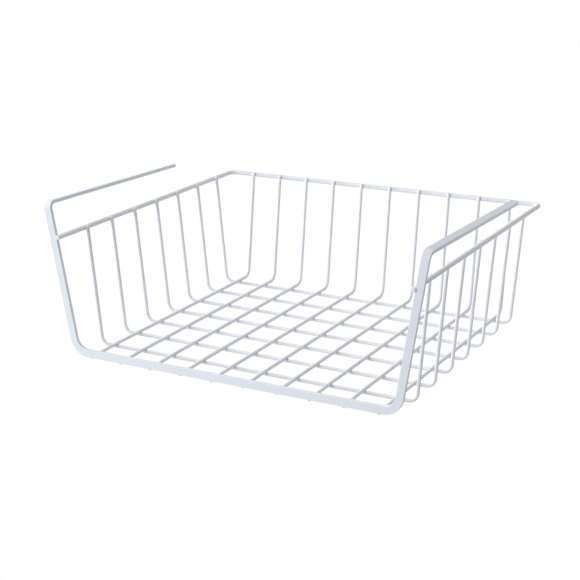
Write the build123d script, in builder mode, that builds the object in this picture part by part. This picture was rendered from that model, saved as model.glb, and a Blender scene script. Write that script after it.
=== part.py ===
from build123d import *
import os
from math import cos, sin, tan, radians

os.makedirs("parts", exist_ok=True)

# Under shelf basket of welded steel wire, in millimetres.
# X runs to the right, Y from the open front to the back wall, Z up.
# The part stands on its cross wires at Z = 0 and is centred on X and Y.

# Overall sizes
overall_width = 360.0      # over the outer edges of the two arms
overall_depth = 295.0      # from the longer rim end to the back of the rim
overall_height = 140.0     # from the cross wires' undersides to the arms' tops

# Stock
wire_d = 3.0               # floor wires and cross wires
rim_d = 4.3                # rim wire
wire_flats = 12            # flats that stand for the round surface of each wire
strip_width = 6.8          # flat strip of the front frame
strip_thickness = 3.1

# Front frame
leg_lean = 9.6             # degrees that each leg leans outwards
arm_droop = 1.5            # degrees that each arm falls towards its end
arm_reach = 196.0          # from the strip's front face to the arm's end
bar_height = 3.0           # underside of the front bar above Z = 0
strip_edge_bend = 14.5     # bend in the wide direction, on the centre line
strip_flat_bend = 5.5      # bend in the thin direction, on the centre line
arm_end_round = 2.2        # rounded corners at the arms' ends

# Rim
rim_height = 108.5         # centre of the rim wire above Z = 0
rim_bend = 7.0             # on the centre line
rim_end_left = 0.2         # how far each rim end stands out of the front face
rim_end_right = 1.5

# Cross wires, each one left wall, floor and right wall
cross_count = 7
first_cross_offset = 39.0  # from the strip's front face to the first one
last_cross_offset = 17.8   # from the last one to where floor line and back line meet
cross_bend = 8.0           # on the centre line

# Floor wires, each one floor and back wall
floor_count = 10
side_margin = 15.6         # from the outer ones to where floor line and wall line meet
back_run = 18.5            # how far the back wall leans out from the floor to the rim
back_bend = 9.0            # on the centre line
front_dip_depth = 1.0      # how far the front ends sink towards the bar
dip_length = 36.0          # from the front face to where the dip begins
dip_bend = 60.0
front_setback = 0.3        # front ends behind the strip's front face

# Welds: how deep one piece sits in the next
cross_weld_depth = 0.4     # floor wire on cross wire, and wall wire on rim
rim_weld_depth = 1.0       # rim end beside its leg
wall_end_height = 0.35     # wall wires' tops above the rim's top

# Derived positions
half_flat = 180 / wire_flats
lean = radians(leg_lean)
front_y = rim_end_right - overall_depth / 2
rim_back_y = overall_depth / 2 - rim_d / 2
bar_z = bar_height + strip_width / 2
bend_run = strip_flat_bend * tan(radians(90 + arm_droop) / 2)
arm_rise = strip_flat_bend - bend_run + strip_thickness / 2
arm_z = overall_height - arm_rise * cos(lean) - strip_width / 2 * sin(lean)
arm_x = overall_width / 2 - strip_width / 2 * cos(lean) - arm_rise * sin(lean)
leg_foot_x = arm_x - (arm_z - bar_z) * tan(lean)
leg_x_at_rim = arm_x - (arm_z - rim_height) * tan(lean)
rim_x = leg_x_at_rim - (strip_width / 2 + rim_d / 2 - rim_weld_depth) / cos(lean)
floor_pitch = 2 * (leg_foot_x - side_margin) / (floor_count - 1)
cross_z = wire_d / 2
floor_z = cross_z + wire_d - cross_weld_depth
wall_top_z = rim_height + rim_d / 2 + wall_end_height
wall_inset = rim_d / 2 + wire_d / 2 - cross_weld_depth
side_slope = (rim_x - wall_inset - leg_foot_x) / (rim_height - cross_z)
wall_top_x = leg_foot_x + side_slope * (wall_top_z - cross_z)
floor_back_y = rim_back_y - back_run
first_cross_y = front_y + first_cross_offset
cross_pitch = (floor_back_y - last_cross_offset - first_cross_y) / (cross_count - 1)
back_slope = (rim_back_y - wall_inset - floor_back_y) / (rim_height - floor_z)
wall_top_y = floor_back_y + back_slope * (wall_top_z - floor_z)

# Front frame: bar and legs bent edgewise in one plane, then one flatwise bend to each arm
arm_root = bend_run + strip_thickness
leg_end_x = arm_x - arm_root * sin(lean)
leg_end_z = arm_z - arm_root * cos(lean)
arm_run = arm_reach - strip_thickness / 2
arm_fall = arm_run * tan(radians(arm_droop))
front_plane = Plane(origin=(0, front_y, 0), x_dir=(1, 0, 0), z_dir=(0, -1, 0))
with BuildPart() as front_frame:
    with BuildSketch(front_plane):
        with BuildLine() as bar_line:
            FilletPolyline(
                (-leg_end_x, leg_end_z),
                (-leg_foot_x, bar_z),
                (leg_foot_x, bar_z),
                (leg_end_x, leg_end_z),
                radius=strip_edge_bend,
            )
        trace(bar_line.line, line_width=strip_width)
    extrude(amount=-strip_thickness)
    for side in (-1, 1):
        arm_plane = Plane(
            origin=(side * arm_x, front_y + strip_thickness / 2, arm_z),
            x_dir=(0, 1, 0),
            z_dir=(cos(lean), 0, -side * sin(lean)),
        )
        with BuildSketch(arm_plane):
            with BuildLine() as arm_line:
                FilletPolyline(
                    (0, -arm_root),
                    (0, 0),
                    (arm_run, -arm_fall),
                    radius=strip_flat_bend,
                )
            trace(arm_line.line, line_width=strip_thickness)
        extrude(amount=strip_width / 2, both=True)
    arm_ends = front_frame.faces().sort_by(Axis.Y)[-2:]
    end_corners = [edge for end in arm_ends for edge in end.edges().sort_by(SortBy.LENGTH)[:2]]
    fillet(end_corners, radius=arm_end_round)
front_frame.part.label = "front_frame"
export_step(front_frame.part, "parts/front_frame.step")

# Rim wire: left side, back and right side, its ends let into the legs' inner edges
with BuildPart() as rim_wire:
    with BuildLine(Plane.XY.offset(rim_height)) as rim_line:
        FilletPolyline(
            (-rim_x, front_y - rim_end_left),
            (-rim_x, rim_back_y),
            (rim_x, rim_back_y),
            (rim_x, front_y - rim_end_right),
            radius=rim_bend,
        )
    with BuildSketch(Plane(origin=rim_line.line @ 0, x_dir=(0, 0, 1), z_dir=rim_line.line % 0)):
        RegularPolygon(rim_d / 2, wire_flats, major_radius=False, rotation=half_flat)
    sweep()
    add(front_frame.part, mode=Mode.SUBTRACT)
rim_wire.part.label = "rim_wire"
export_step(rim_wire.part, "parts/rim_wire.step")

# Cross wires: their wall ends sit on the inner side of the rim
cross_wires = []
for index in range(cross_count):
    cross_y = first_cross_y + index * cross_pitch
    with BuildPart() as cross_wire:
        with BuildLine(Plane(origin=(0, cross_y, 0), x_dir=(1, 0, 0), z_dir=(0, -1, 0))) as cross_line:
            FilletPolyline(
                (-wall_top_x, wall_top_z),
                (-leg_foot_x, cross_z),
                (leg_foot_x, cross_z),
                (wall_top_x, wall_top_z),
                radius=cross_bend,
            )
        with BuildSketch(Plane(origin=cross_line.line @ 0, x_dir=(0, 1, 0), z_dir=cross_line.line % 0)):
            RegularPolygon(wire_d / 2, wire_flats, major_radius=False, rotation=half_flat)
        sweep()
        add(rim_wire.part, mode=Mode.SUBTRACT)
    cross_wire.part.label = f"cross_wire_{index + 1}"
    export_step(cross_wire.part, f"parts/cross_wire_{index + 1}.step")
    cross_wires.append(cross_wire.part)

# Floor wires: on top of the cross wires, under the front bar, up to the rim's inner side
for index in range(floor_count):
    floor_x = (index - (floor_count - 1) / 2) * floor_pitch
    with BuildPart() as floor_wire:
        with BuildLine(Plane(origin=(floor_x, 0, 0), x_dir=(0, 1, 0), z_dir=(1, 0, 0))) as floor_line:
            FilletPolyline(
                (front_y + front_setback, floor_z - front_dip_depth),
                (front_y + dip_length, floor_z),
                (floor_back_y, floor_z),
                (wall_top_y, wall_top_z),
                radius=(dip_bend, back_bend),
            )
        with BuildSketch(Plane(origin=floor_line.line @ 0, x_dir=(1, 0, 0), z_dir=floor_line.line % 0)):
            RegularPolygon(wire_d / 2, wire_flats, major_radius=False, rotation=half_flat)
        sweep()
        add(front_frame.part, mode=Mode.SUBTRACT)
        add(rim_wire.part, mode=Mode.SUBTRACT)
        add(cross_wires, mode=Mode.SUBTRACT)
    floor_wire.part.label = f"floor_wire_{index + 1}"
    export_step(floor_wire.part, f"parts/floor_wire_{index + 1}.step")
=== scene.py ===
# %% [markdown]
# # Under shelf basket in white powder-coated wire
# The real basket is made from three kinds of mild steel stock: a flat strip for the front
# frame, a thick round wire for the rim, and a thinner round wire for the floor and the walls.
# Each length is cut, bent cold on a former, resistance welded where it crosses the next, and
# the whole basket is then coated in one go. This file follows that order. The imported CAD
# model comes in first as a fixed frame, so that every bent length lands where its CAD piece is.

# %% Load the fixed frame
from collections import Counter
from itertools import count
from math import cos, pi, radians, sin, tan

import bpy
from mathutils import Matrix, Vector


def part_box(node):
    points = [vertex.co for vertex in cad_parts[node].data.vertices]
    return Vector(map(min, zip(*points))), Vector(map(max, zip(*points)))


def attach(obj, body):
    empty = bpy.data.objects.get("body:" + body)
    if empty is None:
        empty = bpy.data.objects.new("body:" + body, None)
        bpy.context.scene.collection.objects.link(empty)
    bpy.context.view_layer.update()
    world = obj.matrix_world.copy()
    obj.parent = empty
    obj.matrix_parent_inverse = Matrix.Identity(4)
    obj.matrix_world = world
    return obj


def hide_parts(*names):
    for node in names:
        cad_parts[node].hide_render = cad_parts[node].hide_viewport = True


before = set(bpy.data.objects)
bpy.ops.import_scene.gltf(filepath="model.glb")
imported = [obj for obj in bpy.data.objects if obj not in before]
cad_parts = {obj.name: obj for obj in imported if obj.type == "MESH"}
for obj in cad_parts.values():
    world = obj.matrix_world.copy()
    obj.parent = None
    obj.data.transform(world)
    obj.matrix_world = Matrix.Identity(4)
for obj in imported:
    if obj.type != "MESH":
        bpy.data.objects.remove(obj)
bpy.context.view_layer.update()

# %% [markdown]
# ## Sizes
# Blender works in metres, and stock is sold in millimetres, so each size is written in
# millimetres and multiplied once. Places that the CAD model already holds are read from its
# boxes instead of being typed again: the front face of the strip, the ground and the rim.

# %% Stock
MM = 0.001
wire_diameter = 3.0 * MM
rim_diameter = 4.3 * MM
strip_width = 6.8 * MM
strip_thickness = 3.1 * MM
stock_sizes = (strip_width, strip_thickness, rim_diameter, wire_diameter)
print("strip, rim and wire in mm:", [round(size / MM, 1) for size in stock_sizes])

# %% Places read from the CAD boxes
front_low, front_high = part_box("front_frame")
rim_low, rim_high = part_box("rim_wire")
cross_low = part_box("cross_wire_1")[0]

front_y = front_low.y
bar_z = front_low.z + strip_width / 2
rim_z = (rim_low.z + rim_high.z) / 2
rim_x = (rim_high.x - rim_low.x - rim_diameter) / 2
rim_back_y = rim_high.y - rim_diameter / 2
print("front face", round(front_y, 4), "rim centre height", round(rim_z, 4))

# %% Layers of wire, each sunk a little into the next where they are welded
weld_depth = 0.4 * MM
wall_end_height = 0.35 * MM    # tops of the wall wires above the rim's top
cross_z = cross_low.z + wire_diameter / 2
floor_z = cross_z + wire_diameter - weld_depth
wall_top_z = rim_z + rim_diameter / 2 + wall_end_height
wall_inset = rim_diameter / 2 + wire_diameter / 2 - weld_depth
print("cross wires at", round(cross_z, 4), "floor wires at", round(floor_z, 4))


# %% The middle of a CAD piece
def box_middle(node):
    """The middle of a CAD node's box, as X, Y and Z."""
    return [(low + high) / 2 for low, high in zip(*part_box(node))]


floor_count = 10
cross_count = 7
floor_xs = [box_middle(f"floor_wire_{number}")[0] for number in range(1, floor_count + 1)]
cross_ys = [box_middle(f"cross_wire_{number}")[1] for number in range(1, cross_count + 1)]
print("floor wires every", round((floor_xs[1] - floor_xs[0]) / MM, 1), "mm,",
      "cross wires every", round((cross_ys[1] - cross_ys[0]) / MM, 1), "mm")

# %% [markdown]
# ## Bending a length of stock
# A wire could be a curve with a bevel, but a mesh that is pushed and spun is closer to the
# work on the bench. A filled circle is the sawn end. Extruding it makes a straight run, and
# spinning it about the former's centre makes a bend. The same two steps serve every length
# here, so they are written once, as a function that follows a list of corners.

# %% Leave nothing selected, or only one piece
def deselect_all():
    """The CAD nodes are selected after loading, and an operator acts on all that is."""
    if bpy.context.object and bpy.context.object.mode != "OBJECT":
        bpy.ops.object.mode_set(mode="OBJECT")
    bpy.ops.object.select_all(action="DESELECT")


def select_only(piece):
    deselect_all()
    piece.select_set(True)
    bpy.context.view_layer.objects.active = piece


# %% Into edit mode with a sawn end, and out again
def take_up(name):
    """Names the new section, applies its place and size, and selects its face."""
    section = bpy.context.object
    section.name = section.data.name = name
    bpy.ops.object.transform_apply(location=True, rotation=True, scale=True)
    bpy.ops.object.mode_set(mode="EDIT")
    bpy.ops.mesh.select_mode(type="FACE")
    bpy.ops.mesh.select_all(action="SELECT")
    return section


def put_down():
    """Leaves edit mode with nothing selected in the mesh."""
    bpy.ops.mesh.select_mode(type="FACE")
    bpy.ops.mesh.select_all(action="DESELECT")
    bpy.ops.object.mode_set(mode="OBJECT")


# %% Straight runs and bends
bend_step = radians(6)


def push(offset):
    """Extrudes the selected end face along a straight run."""
    bpy.ops.mesh.extrude_region_move(TRANSFORM_OT_translate={"value": offset})


def bend(centre, axis, angle):
    """Spins the selected end face about the centre of the former."""
    steps = max(2, round(angle / bend_step))
    bpy.ops.mesh.spin(steps=steps, angle=-angle, center=centre, axis=axis)


def follow(corners, radii):
    """Takes the selected end along the corners, with a bend of each radius between the runs."""
    here = corners[0]
    for before, corner, after, radius in zip(corners, corners[1:], corners[2:], radii):
        arrive = (corner - before).normalized()
        leave = (after - corner).normalized()
        angle = arrive.angle(leave)
        tangent = radius * tan(angle / 2)
        bend_start = corner - arrive * tangent
        axis = arrive.cross(leave).normalized()
        push(bend_start - here)
        bend(bend_start + axis.cross(arrive) * radius, axis, angle)
        here = corner + leave * tangent
    push(corners[-1] - here)


# %% Soft ends and clean normals
same_point = 0.001 * MM


def soften_ends(wire, width):
    """A cropped and coated wire has no sharp rim, so both ends' edges are bevelled."""
    put_down()
    for face in wire.data.polygons:
        face.select = len(face.vertices) > 4
    bpy.ops.object.mode_set(mode="EDIT")
    bpy.ops.mesh.bevel(offset=width, segments=4, affect="EDGES")


def finish_mesh(piece, sharp_degrees=35):
    """Merges doubles, turns every face outwards and smooths all but the real corners."""
    bpy.ops.object.mode_set(mode="EDIT")
    bpy.ops.mesh.select_all(action="SELECT")
    bpy.ops.mesh.remove_doubles(threshold=same_point)
    bpy.ops.mesh.normals_make_consistent(inside=False)
    select_only(piece)
    bpy.ops.object.shade_smooth_by_angle(angle=radians(sharp_degrees))
    uses = Counter(edge for face in piece.data.polygons for edge in face.edge_keys)
    print(piece.name, len(piece.data.polygons), "faces,",
          sum(faces != 2 for faces in uses.values()), "open edges, size in mm",
          [round(v / MM, 1) for v in piece.dimensions])


# %% One whole wire
wire_sides = 32


def bend_wire(name, diameter, corners, radii, end_round):
    """Takes a round wire from its sawn end to a finished mesh with soft ends."""
    deselect_all()
    bpy.ops.mesh.primitive_circle_add(
        vertices=wire_sides,
        radius=diameter / 2,
        fill_type="NGON",
        location=corners[0],
        rotation=(corners[1] - corners[0]).to_track_quat("Z", "Y").to_euler(),
    )
    wire = take_up(name)
    follow(corners, radii)
    soften_ends(wire, end_round)
    finish_mesh(wire)
    return wire


# %% A copy in a new place
def copy_to(piece, name, offset):
    """Duplicates a finished piece with a mesh of its own and moves that mesh."""
    select_only(piece)
    bpy.ops.object.duplicate(linked=False)
    twin = bpy.context.object
    twin.name = twin.data.name = name
    bpy.ops.transform.translate(value=offset)
    bpy.ops.object.transform_apply(location=True, rotation=True, scale=True)
    return twin


# %% [markdown]
# ## Floor wires
# Ten thin wires run from under the front bar to the back, and turn up the back wall. They
# lie on the cross wires, and in front of the first one they dip a little, because the front
# bar's underside is lower than the floor. An Array modifier could repeat one wire, but each
# wire has to take the place of its own CAD piece, so the other nine are copies of the first.

# %% Bend the first floor wire
back_run = 18.5 * MM        # how far the back wall leans out from the floor to the rim
back_bend = 9.0 * MM
dip_length = 36.0 * MM      # from the strip's front face to where the dip begins
dip_depth = 1.0 * MM
dip_bend = 60.0 * MM
front_setback = 0.3 * MM    # front ends behind the strip's front face
wire_end_round = 0.8 * MM

floor_x = floor_xs[0]
floor_back_y = rim_back_y - back_run
back_slope = (rim_back_y - wall_inset - floor_back_y) / (rim_z - floor_z)
floor_path = [
    Vector((floor_x, front_y + front_setback, floor_z - dip_depth)),
    Vector((floor_x, front_y + dip_length, floor_z)),
    Vector((floor_x, floor_back_y, floor_z)),
    Vector((floor_x, floor_back_y + back_slope * (wall_top_z - floor_z), wall_top_z)),
]
first_floor_wire = bend_wire(
    "floor_wire_1_bent", wire_diameter, floor_path, [dip_bend, back_bend], wire_end_round
)

# %% Lay the other floor wires beside it
floor_wires = [first_floor_wire]
for number, x in enumerate(floor_xs[1:], 2):
    offset = (x - floor_x, 0, 0)
    floor_wires.append(copy_to(first_floor_wire, f"floor_wire_{number}_bent", offset))
print(len(floor_wires), "floor wires")

# %% [markdown]
# ## Cross wires
# Seven wires of the same stock lie under the floor wires. Each one starts at the rim, comes
# down the left wall, crosses the floor and goes up the right wall. The walls lean out, so the
# bends are a little under a right angle. Half a wire could be mirrored, but the right ends
# stop a little lower than the left ones, as on the real basket, so it is bent from end to end.

# %% Where the legs stand, worked back from the arms' outer edges
leg_lean = radians(9.6)
arm_droop = radians(1.5)
strip_flat_bend = 5.5 * MM
arm_rise = strip_flat_bend * (1 - tan((pi / 2 + arm_droop) / 2)) + strip_thickness / 2
arm_z = front_high.z - arm_rise * cos(leg_lean) - strip_width / 2 * sin(leg_lean)
arm_x = front_high.x - strip_width / 2 * cos(leg_lean) - arm_rise * sin(leg_lean)
leg_foot_x = arm_x - (arm_z - bar_z) * tan(leg_lean)
print("arm corner at", round(arm_x, 4), round(arm_z, 4), "leg foot at", round(leg_foot_x, 4))

# %% Bend the first cross wire
cross_bend = 8.0 * MM
right_end_drop = 1.5 * MM

cross_y = cross_ys[0]
side_slope = (rim_x - wall_inset - leg_foot_x) / (rim_z - cross_z)
wall_top_x = leg_foot_x + side_slope * (wall_top_z - cross_z)
cross_path = [
    Vector((-wall_top_x, cross_y, wall_top_z)),
    Vector((-leg_foot_x, cross_y, cross_z)),
    Vector((leg_foot_x, cross_y, cross_z)),
    Vector((wall_top_x - side_slope * right_end_drop, cross_y, wall_top_z - right_end_drop)),
]
first_cross_wire = bend_wire(
    "cross_wire_1_bent", wire_diameter, cross_path, [cross_bend, cross_bend], wire_end_round
)

# %% Lay the other cross wires behind it
cross_wires = [first_cross_wire]
for number, y in enumerate(cross_ys[1:], 2):
    offset = (0, y - cross_y, 0)
    cross_wires.append(copy_to(first_cross_wire, f"cross_wire_{number}_bent", offset))
print(len(cross_wires), "cross wires")

# %% [markdown]
# ## Rim wire
# The rim is the thickest wire. It runs round the left side, the back and the right side, and
# its two ends lie beside the legs of the front frame. It could be mirrored too, but the left
# end is cut almost flush with the strip, and the right end stands a little further out, as
# on the real basket. So it is bent in one go, from the left end to the right one.

# %% Bend the rim wire
rim_bend = 7.0 * MM
rim_end_left = 0.2 * MM     # how far the left end stands out of the strip's front face
rim_end_round = 0.45 * MM

rim_path = [
    Vector((-rim_x, front_y - rim_end_left, rim_z)),
    Vector((-rim_x, rim_back_y, rim_z)),
    Vector((rim_x, rim_back_y, rim_z)),
    Vector((rim_x, rim_low.y, rim_z)),
]
rim_wire = bend_wire(
    "rim_wire_bent", rim_diameter, rim_path, [rim_bend, rim_bend], rim_end_round
)

# %% [markdown]
# ## Front frame
# The front frame is one flat strip. From the middle of the front bar it runs to the corner,
# is bent edgewise up into the leg, and at the top is bent the easy way, back into the arm
# that slides over the shelf. A flat outline with a Solidify modifier would give the bar and
# the legs, but the arms leave its plane. So a flat rectangle, the sawn section of the strip,
# is pushed and spun just as the wires are. The halves are alike, so one is bent and mirrored.

# %% The sawn section at the middle of the bar
middle_y = front_y + strip_thickness / 2
deselect_all()
bpy.ops.mesh.primitive_plane_add(
    size=1, location=(0, middle_y, bar_z), rotation=(0, pi / 2, 0)
)
bpy.context.object.scale = (strip_width, strip_thickness, 1)
front_frame = take_up("front_frame_bent")

# %% Along the bar, up the leg and back along the arm
strip_edge_bend = 14.5 * MM
arm_reach = 196.0 * MM

leg_direction = Vector((sin(leg_lean), 0, cos(leg_lean)))
arm_direction = Vector((0, cos(arm_droop), 0)) - leg_direction * sin(arm_droop)
arm_corner = Vector((arm_x, middle_y, arm_z))
arm_length = (arm_reach - strip_thickness / 2) / cos(arm_droop)
strip_path = [
    Vector((0, middle_y, bar_z)),
    Vector((leg_foot_x, middle_y, bar_z)),
    arm_corner,
    arm_corner + arm_direction * arm_length,
]
follow(strip_path, [strip_edge_bend, strip_flat_bend])
put_down()
print("arm length from its corner", round(arm_length, 4))

# %% Round the corners of the arm's end
arm_end_round = 2.2 * MM
nearly_parallel = 0.9       # the least cosine between a corner's edge and the thickness

tip_y = max(v.co.y for v in front_frame.data.vertices)
thick_way = arm_direction.cross(Vector((cos(leg_lean), 0, -sin(leg_lean))))
for edge in front_frame.data.edges:
    ends = [front_frame.data.vertices[i].co for i in edge.vertices]
    along = (ends[0] - ends[1]).normalized()
    at_tip = all(abs(end.y - tip_y) < strip_thickness / 4 for end in ends)
    edge.select = at_tip and abs(along.dot(thick_way)) > nearly_parallel
print(sum(edge.select for edge in front_frame.data.edges), "corner edges to round")
bpy.ops.object.mode_set(mode="EDIT")
bpy.ops.mesh.select_mode(type="EDGE")
bpy.ops.mesh.bevel(offset=arm_end_round, segments=6, affect="EDGES")
put_down()

# %% [markdown]
# The strip was rolled, not cut from sheet, so its long edges are soft even before the coat
# rounds them further. A Bevel modifier limited by angle finds those edges by itself and
# passes over the shallow steps of the bends. The inner face at the middle of the bar is
# deleted first, so that the mirrored half joins it in one clean tube.

# %% Open the middle of the bar
seam_width = 0.01 * MM
for face in front_frame.data.polygons:
    corners = [front_frame.data.vertices[i].co for i in face.vertices]
    face.select = all(abs(corner.x) < seam_width for corner in corners)
print(sum(face.select for face in front_frame.data.polygons), "inner face to delete")
bpy.ops.object.mode_set(mode="EDIT")
bpy.ops.mesh.delete(type="FACE")
bpy.ops.mesh.select_all(action="SELECT")
bpy.ops.mesh.normals_make_consistent(inside=False)
bpy.ops.object.mode_set(mode="OBJECT")

# %% Soften the edges, mirror, and keep the wide faces flat
rolled_edge = front_frame.modifiers.new("rolled edges", "BEVEL")
rolled_edge.width = 0.3 * MM
rolled_edge.segments = 4
rolled_edge.limit_method = "ANGLE"
rolled_edge.angle_limit = radians(40)
bpy.ops.object.modifier_apply(modifier=rolled_edge.name)
other_half = front_frame.modifiers.new("other half", "MIRROR")
other_half.use_axis = (True, False, False)
other_half.merge_threshold = seam_width
bpy.ops.object.modifier_apply(modifier=other_half.name)
finish_mesh(front_frame)
flat_faces = front_frame.modifiers.new("flat faces", "WEIGHTED_NORMAL")
flat_faces.keep_sharp = True
bpy.ops.object.modifier_apply(modifier=flat_faces.name)

# %% [markdown]
# ## Welds
# Where two wires cross, a resistance weld melts them together, and a little metal is squeezed
# out into the corners between them. Under the coat it reads as a small soft collar. A Boolean
# union would leave a sharp seam there, so each collar is a sphere that is flattened across
# the joint, and made slightly uneven with seeded random moves, so that no two collars look
# alike. All collars of a kind are joined.

# %% One collar, flattened across the joint
collar_unevenness = 0.07 * MM
collar_seeds = count(1)


def weld_collar(place, half_sizes):
    """Adds one uneven collar at a joint, with its half sizes along X, Y and Z."""
    bpy.ops.mesh.primitive_uv_sphere_add(segments=14, ring_count=8, radius=1, location=place)
    collar = bpy.context.object
    collar.scale = half_sizes
    bpy.ops.object.transform_apply(location=True, rotation=True, scale=True)
    bpy.ops.object.mode_set(mode="EDIT")
    bpy.ops.mesh.select_all(action="SELECT")
    bpy.ops.transform.vertex_random(
        offset=collar_unevenness, uniform=0.6, seed=next(collar_seeds)
    )
    bpy.ops.mesh.vertices_smooth(factor=0.5)
    bpy.ops.object.mode_set(mode="OBJECT")
    return collar


def weld_group(name, joints):
    """Joins the collars of one kind into one piece."""
    deselect_all()
    collars = [weld_collar(place, half_sizes) for place, half_sizes in joints]
    select_only(collars[0])
    for collar in collars:
        collar.select_set(True)
    bpy.ops.object.join()
    group = bpy.context.object
    group.name = group.data.name = name
    finish_mesh(group, sharp_degrees=80)
    return group


# %% Collars on the floor grid
floor_collar = (1.8 * MM, 1.8 * MM, 0.65 * MM)
floor_joint_z = (cross_z + floor_z) / 2
floor_welds = weld_group(
    "floor_weld_collars",
    [((x, y, floor_joint_z), floor_collar) for x in floor_xs for y in cross_ys],
)

# %% Collars along the rim and beside the legs
side_collar = (0.6 * MM, 1.7 * MM, 1.7 * MM)
back_collar = (1.7 * MM, 0.6 * MM, 1.7 * MM)
leg_collar = (0.9 * MM, strip_thickness / 2, 2.7 * MM)
rim_weld_depth = 1.0 * MM   # how deep each rim end sits in its leg

side_joint_x = rim_x - rim_diameter / 2 + weld_depth / 2
back_joint_y = rim_back_y - rim_diameter / 2 + weld_depth / 2
leg_joint_x = rim_x + rim_diameter / 2 - rim_weld_depth / 2
rim_welds = weld_group(
    "rim_weld_collars",
    [((side * side_joint_x, y, rim_z), side_collar) for y in cross_ys for side in (-1, 1)]
    + [((x, back_joint_y, rim_z), back_collar) for x in floor_xs]
    + [((side * leg_joint_x, middle_y, rim_z), leg_collar) for side in (-1, 1)],
)

# %% Collars under the bar
bar_collar = (2.0 * MM, 1.0 * MM, 0.8 * MM)
bar_joint_y = front_y + strip_thickness
bar_joint_z = front_low.z + 0.2 * MM
bar_welds = weld_group(
    "bar_weld_collars", [((x, bar_joint_y, bar_joint_z), bar_collar) for x in floor_xs]
)

# %% [markdown]
# ## Finish
# Polyester powder is sprayed on dry and baked, and flows into a plastic skin about a tenth of
# a millimetre thick. That gives the eye a white that is not quite even, a soft satin gloss, and
# orange peel: a faint ripple a millimetre or two across. The steel is nowhere bare, so the
# shader is a plain dielectric. A painted image would have to be wrapped round every wire.
# Noise needs no wrapping, and reads Object coordinates, which are metres here. The skin looks
# smoothest on the thin wires and rougher on the wide strip. The weld collars get a much darker
# grey, a painted shade for the shadow in the corners between crossing wires, so each of the
# three has a coat of its own.

# %% Colours and nodes
def linear(hex_colour):
    """Turns an sRGB hex colour into the linear values that shaders use."""
    channels = [int(hex_colour[i:i + 2], 16) / 255 for i in (1, 3, 5)]
    return [
        c / 12.92 if c <= 0.04045 else ((c + 0.055) / 1.055) ** 2.4 for c in channels
    ] + [1.0]


def add_node(tree, kind, links=(), values=(), **settings):
    """Adds a node, sets its properties and socket values, and links what feeds it."""
    node = tree.nodes.new(kind)
    for name, value in settings.items():
        setattr(node, name, value)
    for socket, value in values:
        node.inputs[socket].default_value = value
    for socket, source in links:
        tree.links.new(source, node.inputs[socket])
    return node


# %% Polyester powder coat
patch_width = 22 * MM
patch_low, patch_high = 0.3, 0.7    # noise gathers round a half and seldom leaves this range
polyester_ior = 1.5
colour_a, colour_b, mixed_colour = 6, 7, 2  # a Mix node's colour sockets, reached by number


def powder_coat(name, white, shade, peel_width, peel_depth, roughness):
    """A baked powder skin: two close whites in soft patches, orange peel, uneven gloss."""
    material = bpy.data.materials.new(name)
    material.use_nodes = True
    tree = material.node_tree
    tree.nodes.clear()
    place = add_node(tree, "ShaderNodeTexCoord").outputs["Object"]
    patches = add_node(
        tree, "ShaderNodeTexNoise", [("Vector", place)],
        [("Scale", 1 / patch_width), ("Detail", 3.0), ("Roughness", 0.55)],
    )
    tint = add_node(
        tree, "ShaderNodeMix", [("Factor", patches.outputs["Fac"])],
        [(colour_a, linear(white)), (colour_b, linear(shade))], data_type="RGBA",
    )
    peel = add_node(
        tree, "ShaderNodeTexNoise", [("Vector", place)],
        [("Scale", 1 / peel_width), ("Detail", 2.0), ("Roughness", 0.5)],
    )
    ripple = add_node(
        tree, "ShaderNodeBump", [("Height", peel.outputs["Fac"])],
        [("Strength", 1.0), ("Distance", peel_depth)],
    )
    gloss = add_node(
        tree, "ShaderNodeMapRange", [("Value", patches.outputs["Fac"])],
        [
            ("From Min", patch_low), ("From Max", patch_high),
            ("To Min", roughness[0]), ("To Max", roughness[1]),
        ],
    )
    skin = add_node(
        tree, "ShaderNodeBsdfPrincipled",
        [
            ("Base Color", tint.outputs[mixed_colour]),
            ("Roughness", gloss.outputs["Result"]),
            ("Normal", ripple.outputs["Normal"]),
        ],
        [("IOR", polyester_ior)],
    )
    add_node(tree, "ShaderNodeOutputMaterial", [("Surface", skin.outputs["BSDF"])])
    return material


# %% The three coats
strip_coat = powder_coat(
    "polyester_powder_coat_on_strip", white="#E9EEF6", shade="#E4E9F2",
    peel_width=1.8 * MM, peel_depth=0.012 * MM, roughness=(0.46, 0.56),
)
wire_coat = powder_coat(
    "polyester_powder_coat_on_wire", white="#EAEDF2", shade="#E6E8EE",
    peel_width=1.2 * MM, peel_depth=0.01 * MM, roughness=(0.36, 0.48),
)
# The welds' coat is far darker than the wire's: painted shade, for the shadow that falls in the
# corners between crossing wires.
weld_coat_painted_shade = powder_coat(
    "powder_coat_on_welds_with_painted_shade", white="#C2C8D0", shade="#B2B9C3",
    peel_width=0.8 * MM, peel_depth=0.03 * MM, roughness=(0.42, 0.56),
)
print("coats:", strip_coat.name, wire_coat.name, weld_coat_painted_shade.name)

# %% [markdown]
# Each bent piece takes the place of its CAD node, which stays hidden for collision. The weld
# collars have no node of their own. All of them ride on the one rigid body.

# %% Dress the pieces
def dress(piece, coat, *nodes):
    piece.data.materials.clear()
    piece.data.materials.append(coat)
    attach(piece, "root")
    if nodes:
        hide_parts(*nodes)


dress(front_frame, strip_coat, "front_frame")
dress(rim_wire, wire_coat, "rim_wire")
for number, wire in enumerate(cross_wires, 1):
    dress(wire, wire_coat, f"cross_wire_{number}")
for number, wire in enumerate(floor_wires, 1):
    dress(wire, wire_coat, f"floor_wire_{number}")
# Every weld collar takes the dark coat, whose grey is painted shade.
for welds in (floor_welds, rim_welds, bar_welds):
    dress(welds, weld_coat_painted_shade)
print("strip, rim,", cross_count, "cross wires,", floor_count, "floor wires and welds dressed")

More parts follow.
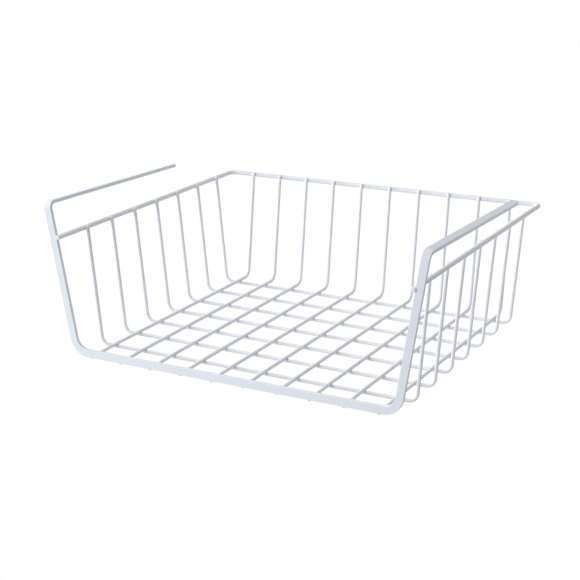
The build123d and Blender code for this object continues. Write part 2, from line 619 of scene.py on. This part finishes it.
# %% [markdown]
# ## Floor, light and camera
# The basket stands on a plain pale floor in a white studio. The photograph's background is
# pure white, yet its steel is never brighter than the background, so the floor and the walls
# are white where the camera sees them, and give only a dim, even light. The floor is darkest
# in front on the right, as if a dark card lay there. That card draws the dark line along the
# right leg, because the leg's outer side faces it. Both surfaces are so wide and even that
# aiming extra rays at them only adds grain, so their light sampling is switched off.

# %% White to the camera, dim as a light
def dim_white(tree, shader, output):
    """Mixes two shaders of one kind by what the ray is, and returns the one that lights."""
    white = linear("#FFFFFF")
    kind_of_ray = add_node(tree, "ShaderNodeLightPath")
    seen = add_node(tree, shader, values=[("Color", white), ("Strength", 1.0)])
    light = add_node(tree, shader, values=[("Color", white)])
    either = add_node(
        tree, "ShaderNodeMixShader",
        [
            (0, kind_of_ray.outputs["Is Camera Ray"]),
            (1, light.outputs[0]),
            (2, seen.outputs[0]),
        ],
    )
    add_node(tree, output, [("Surface", either.outputs[0])])
    return light


# %% The studio floor
deselect_all()
bpy.ops.mesh.primitive_plane_add(size=4, location=(0, 0, 0))
studio_floor = bpy.context.object
studio_floor.name = "studio_floor"
floor_paint = bpy.data.materials.new("matt_white_floor_paint")
floor_paint.use_nodes = True

# %% A glow of its own at each corner of the floor
corner_reach = 0.4              # the corners' distance from the middle, along X and Y
glow_behind = (0.67, 1.0)       # at the left and the right corner
glow_in_front = (0.70, 0.28)
floor_tree = floor_paint.node_tree
floor_tree.nodes.clear()
floor_place = add_node(floor_tree, "ShaderNodeTexCoord").outputs["Object"]
floor_axes = add_node(floor_tree, "ShaderNodeSeparateXYZ", [("Vector", floor_place)])
behind, in_front = [
    add_node(
        floor_tree, "ShaderNodeMapRange", [("Value", floor_axes.outputs["X"])],
        [
            ("From Min", -corner_reach), ("From Max", corner_reach),
            ("To Min", left), ("To Max", right),
        ],
    )
    for left, right in (glow_behind, glow_in_front)
]
floor_light = add_node(
    floor_tree, "ShaderNodeMapRange",
    [
        ("Value", floor_axes.outputs["Y"]),
        ("To Min", in_front.outputs["Result"]),
        ("To Max", behind.outputs["Result"]),
    ],
    [("From Min", -corner_reach), ("From Max", corner_reach)],
)
floor_glow = dim_white(floor_tree, "ShaderNodeEmission", "ShaderNodeOutputMaterial")
floor_tree.links.new(floor_light.outputs["Result"], floor_glow.inputs["Strength"])
floor_paint.cycles.emission_sampling = "NONE"
studio_floor.data.materials.append(floor_paint)
print("floor glow behind", glow_behind, "in front", glow_in_front)

# %% Studio walls
wall_glow = 0.31
world = bpy.data.worlds.new("white studio")
bpy.context.scene.world = world
world.use_nodes = True
world.node_tree.nodes.clear()
walls = dim_white(world.node_tree, "ShaderNodeBackground", "ShaderNodeOutputWorld")
walls.inputs["Strength"].default_value = wall_glow
world.cycles.sampling_method = "NONE"
print("wall glow", wall_glow)

# %% [markdown]
# Five large oval lamps give the rest. The strongest stands low on the basket's left, and that
# is why every surface that looks right is grey. Two in front keep the faces of the strip
# light, one overhead lights the arms' tops, and a weak one behind touches the edges. They all
# stand clear of the floor, because a lamp that is half hidden below it makes the light grainy.

# %% Soft boxes
basket_middle = Vector((0, 0, 0.06))


def soft_box(name, turn, height, power, width=1.2, tall=1.2, distance=2.2):
    """An oval lamp aimed at the basket, with its turn from the front towards the left and
    its height in degrees, and its power in watts."""
    turn, height = radians(turn), radians(height)
    side = Vector((-sin(turn) * cos(height), -cos(turn) * cos(height), sin(height)))
    lamp = bpy.data.lights.new(name, "AREA")
    lamp.shape = "ELLIPSE"
    lamp.size = width
    lamp.size_y = tall
    lamp.energy = power
    lamp_object = bpy.data.objects.new(name, lamp)
    bpy.context.scene.collection.objects.link(lamp_object)
    lamp_object.location = basket_middle + side * distance
    lamp_object.rotation_euler = side.to_track_quat("Z", "Y").to_euler()
    print(name, power, "W at", [round(v, 2) for v in lamp_object.location])


soft_box("key_left", turn=90, height=9, power=37, tall=0.6)
soft_box("front_low", turn=20, height=10, power=15)
soft_box("front_high", turn=22, height=33, power=11)
soft_box("overhead", turn=180, height=70, power=17)
soft_box("back_left", turn=145, height=12, power=3, tall=0.8)

# %% [markdown]
# The camera stands in front of the basket's right corner and looks slightly down. Its place,
# turn and focal length come from matching known edges of the basket with the photograph. A
# Track To constraint would aim it, but the photograph is also tilted by less than a degree,
# so the camera's three directions are worked out and given to it.

# %% Which way the camera looks
camera_turn = radians(28.93)
camera_height = radians(17.47)
camera_roll = radians(-0.76)
back = Vector((
    sin(camera_turn) * cos(camera_height),
    -cos(camera_turn) * cos(camera_height),
    sin(camera_height),
))
level_right = Vector((cos(camera_turn), sin(camera_turn), 0))
level_up = back.cross(level_right)
right = level_right * cos(camera_roll) + level_up * sin(camera_roll)
up = level_up * cos(camera_roll) - level_right * sin(camera_roll)
print("the camera looks along", [round(-v, 3) for v in back])

# %% Camera
camera_distance = 1.2106
target = Vector((-0.01566, -0.00644, 0.0431))
place = target + back * camera_distance
camera_data = bpy.data.cameras.new("camera")
camera_data.sensor_width = 36
camera_data.lens = 82.5
camera = bpy.data.objects.new("camera", camera_data)
bpy.context.scene.collection.objects.link(camera)
camera.matrix_world = Matrix((
    (right.x, up.x, back.x, place.x),
    (right.y, up.y, back.y, place.y),
    (right.z, up.z, back.z, place.z),
    (0, 0, 0, 1),
))
bpy.context.scene.camera = camera
bpy.context.scene.view_settings.view_transform = "Standard"
print("camera at", [round(v, 3) for v in place], "focal length", camera_data.lens, "mm")

# %% [markdown]
# ## Hand over
# The script ends by leaving nothing selected.

# %% Leave nothing selected
deselect_all()
